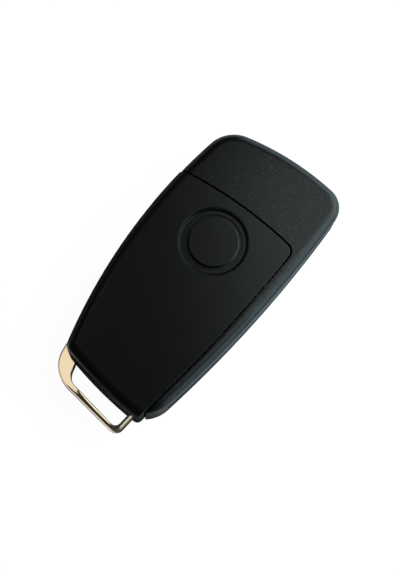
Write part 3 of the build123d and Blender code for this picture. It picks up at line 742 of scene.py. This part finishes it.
def painted_reflection_sheet(finish):
    """A white sheet: plain diffuse to the light, and lifted to white where it is seen. In a mirror it
    shows painted shade, nearly black, apart from four areas of painted reflection: a strip below the
    loop, a strip left of it, all that lies right of the object and all that lies past its head. Up
    from the loop this painted reflection is tinted."""
    seen = finish.ray("Camera").math("MAXIMUM", finish.ray("Transmission"))
    across = finish.part(finish.place(), "X")
    along = finish.part(finish.place(), "Y")
    below = along.smooth(*BELOW_STARTS) * (1 - along.smooth(*BELOW_ENDS))
    below = below * (1 - across.smooth(*BELOW_STOPS))
    beside = across.smooth(*BESIDE_STARTS) * (1 - across.smooth(*BESIDE_ENDS))
    beside = beside * (1 - along.smooth(*BESIDE_STOPS))
    right = across.smooth(*RIGHT_STARTS) * along.smooth(*RIGHT_FOOT)
    above = along.smooth(*ABOVE_STARTS)
    # Painted reflection: these areas glow only in a mirror, and the rest of the sheet is painted shade
    # there.
    painted_reflection_areas = right * 0.65 + below * 0.9 + beside * 0.35 + above * 0.6 + 0.01
    # Painted reflection tint: up from the loop, the mirrored strips take the window's cool colour.
    tint = finish.mix(along.smooth(*PAINTED_TINT_STARTS), (1, 1, 1), PAINTED_REFLECTION_TINT)
    painted_reflection = finish.mix(finish.ray("Glossy") * painted_reflection_areas, (0, 0, 0), tint)
    return finish.feed(
        Base_Color=LIT_WHITE, Roughness=1.0, Specular_IOR_Level=0.0, Emission_Strength=SHOWN_WHITE,
        Emission_Color=finish.mix(seen, painted_reflection, (1, 1, 1)))


sheet = bpy.data.meshes.new("floor")
corners = [(x * FLOOR_HALF, y * FLOOR_HALF, 0.0) for x, y in ((-1, -1), (1, -1), (1, 1), (-1, 1))]
sheet.from_pydata(corners, [], [(0, 1, 2, 3)])
floor = bpy.data.objects.new("floor", sheet)
bpy.context.scene.collection.objects.link(floor)
floor.data.materials.append(painted_reflection_sheet(Finish("white_sheet_painted_reflections")))
print("floor", 2 * FLOOR_HALF, "m across")

# %% World
OVERHEAD = (0.042, 0.034, 0.022)
OVERHEAD_RIGHT = (0.020, 0.045, 0.062)
HORIZON = (0.30, 0.30, 0.30)
WINDOW_SIDE = (1.8, 2.35, 2.5)
WINDOW_WAY = (0.62, 0.79)
# Each pair is where a change in the sky begins and where it is complete, on the direction's part
# along X, along Y, upwards, or towards the window.
RIGHT_SKY = 0.0, 0.45
FRONT_SKY = -0.95, -0.4
HORIZON_FADES = 0.0, 0.25
WINDOW_OPENS = 0.25, 0.95
WINDOW_FADES = 0.45, 0.95


def studio_world():
    """Dim overhead, warmer on the left and cooler on the right. A grey band at the horizon, weaker
    past the loop's end. Brighter towards the window, and white when seen."""
    world = bpy.data.worlds.new("studio")
    world.use_nodes = True
    room = Graph(world.node_tree)
    direction = room.node("ShaderNodeTexCoord", output="Generated")
    height = room.part(direction, "Z")
    window = room.vector("DOT_PRODUCT", direction, (*WINDOW_WAY, 0.0), output="Value")
    behind = room.part(direction, "Y").smooth(*FRONT_SKY)
    above = room.mix(room.part(direction, "X").smooth(*RIGHT_SKY), OVERHEAD, OVERHEAD_RIGHT)
    band = (1 - height.smooth(*HORIZON_FADES)) * (behind * 0.8 + 0.2)
    light = room.mix(band, above, HORIZON)
    pane = window.smooth(*WINDOW_OPENS) * (1 - height.smooth(*WINDOW_FADES))
    light = room.mix(pane, light, WINDOW_SIDE)
    seen = room.ray("Camera").math("MAXIMUM", room.ray("Transmission"))
    light = room.mix(seen, light, (1, 1, 1))
    world.node_tree.links.new(light.socket, world.node_tree.nodes["Background"].inputs["Color"])
    return world


bpy.context.scene.world = studio_world()
print("world set")

# %% Camera at the photograph's angle
TILT = math.radians(13.0)
TILT_TOWARDS = math.radians(-65.0)
ROLL = math.radians(52.0)
DISTANCE = 0.330
TARGET = Vector((2.13 * MM, 3.03 * MM, 7.5 * MM))
SENSOR = 36.0
LENS = 80.66
NEAREST = 0.01
# The frame is shifted by these pixels of the photograph, as shares of its long side.
PHOTO_HEIGHT = 570
SHIFT = (-3 / PHOTO_HEIGHT, -5 / PHOTO_HEIGHT)

towards = Vector((math.cos(TILT_TOWARDS), math.sin(TILT_TOWARDS), 0))
lean = Matrix.Rotation(TILT, 3, Vector((0, 0, 1)).cross(towards))
right = Vector((math.sin(ROLL), math.cos(ROLL), 0))
up = Vector((-math.cos(ROLL), math.sin(ROLL), 0))
upright = Matrix((right, up, Vector((0, 0, 1)))).transposed()
turn = lean @ upright
camera = bpy.data.objects.new("camera", bpy.data.cameras.new("camera"))
camera.data.sensor_width = SENSOR
camera.data.lens = LENS
camera.data.shift_x, camera.data.shift_y = SHIFT
camera.data.clip_start = NEAREST
camera.matrix_world = Matrix.Translation(TARGET + turn.col[2] * DISTANCE) @ turn.to_4x4()
bpy.context.scene.collection.objects.link(camera)
bpy.context.scene.camera = camera
bpy.context.scene.view_settings.view_transform = "Standard"
print("camera stands", round(DISTANCE, 3), "m away")

# %% The soft box
def soft_box(name, azimuth, elevation, distance, width, height, radiance, colour):
    """A rectangle of light that looks at the origin and glows evenly at a given radiance."""
    a, e = math.radians(azimuth), math.radians(elevation)
    place = distance * Vector((math.cos(e) * math.cos(a), math.cos(e) * math.sin(a), math.sin(e)))
    lamp = bpy.data.lights.new(name, "AREA")
    lamp.shape = "RECTANGLE"
    lamp.size = width
    lamp.size_y = height
    lamp.energy = radiance * math.pi * width * height
    lamp.color = colour
    box = bpy.data.objects.new(name, lamp)
    box.location = place
    box.rotation_mode = "QUATERNION"
    box.rotation_quaternion = place.to_track_quat("Z", "Y")
    box.visible_camera = False
    bpy.context.scene.collection.objects.link(box)
    return box


key_box = soft_box(
    "key_box", azimuth=51, elevation=54, distance=0.20,
    width=0.18, height=0.18, radiance=1.12, colour=(0.86, 1.0, 0.98))
print("soft box at", [round(c / MM) for c in key_box.location], "mm")

# %% A card for the leg of the loop
LEG_MIDDLE = Vector((-11.0 * MM, FOOT_Y - 0.8 * MM, 9.2 * MM))
CARD_AWAY = 0.180
CARD_SIDE = 0.024


def mirror_card(name, middle, normal, away, side, radiance, colour):
    """A small square card where a flat face mirrors the camera's view of it: the way from the face
    to the camera, reflected about the face's normal."""
    view = (camera.matrix_world.translation - middle).normalized()
    way = 2 * normal.dot(view) * normal - view
    card = soft_box(name, 0, 0, away, side, side, radiance, colour)
    card.location = middle + way * away
    card.rotation_quaternion = way.to_track_quat("Z", "Y")
    return card


leg_normal = Vector((*(leg_way * math.sin(LEG_TILT)), math.cos(LEG_TILT)))
card = mirror_card(
    "leg_card", LEG_MIDDLE, leg_normal, CARD_AWAY, CARD_SIDE, radiance=1.05, colour=(1.0, 0.96, 0.88))
print("card at", [round(c / MM) for c in card.location], "mm")
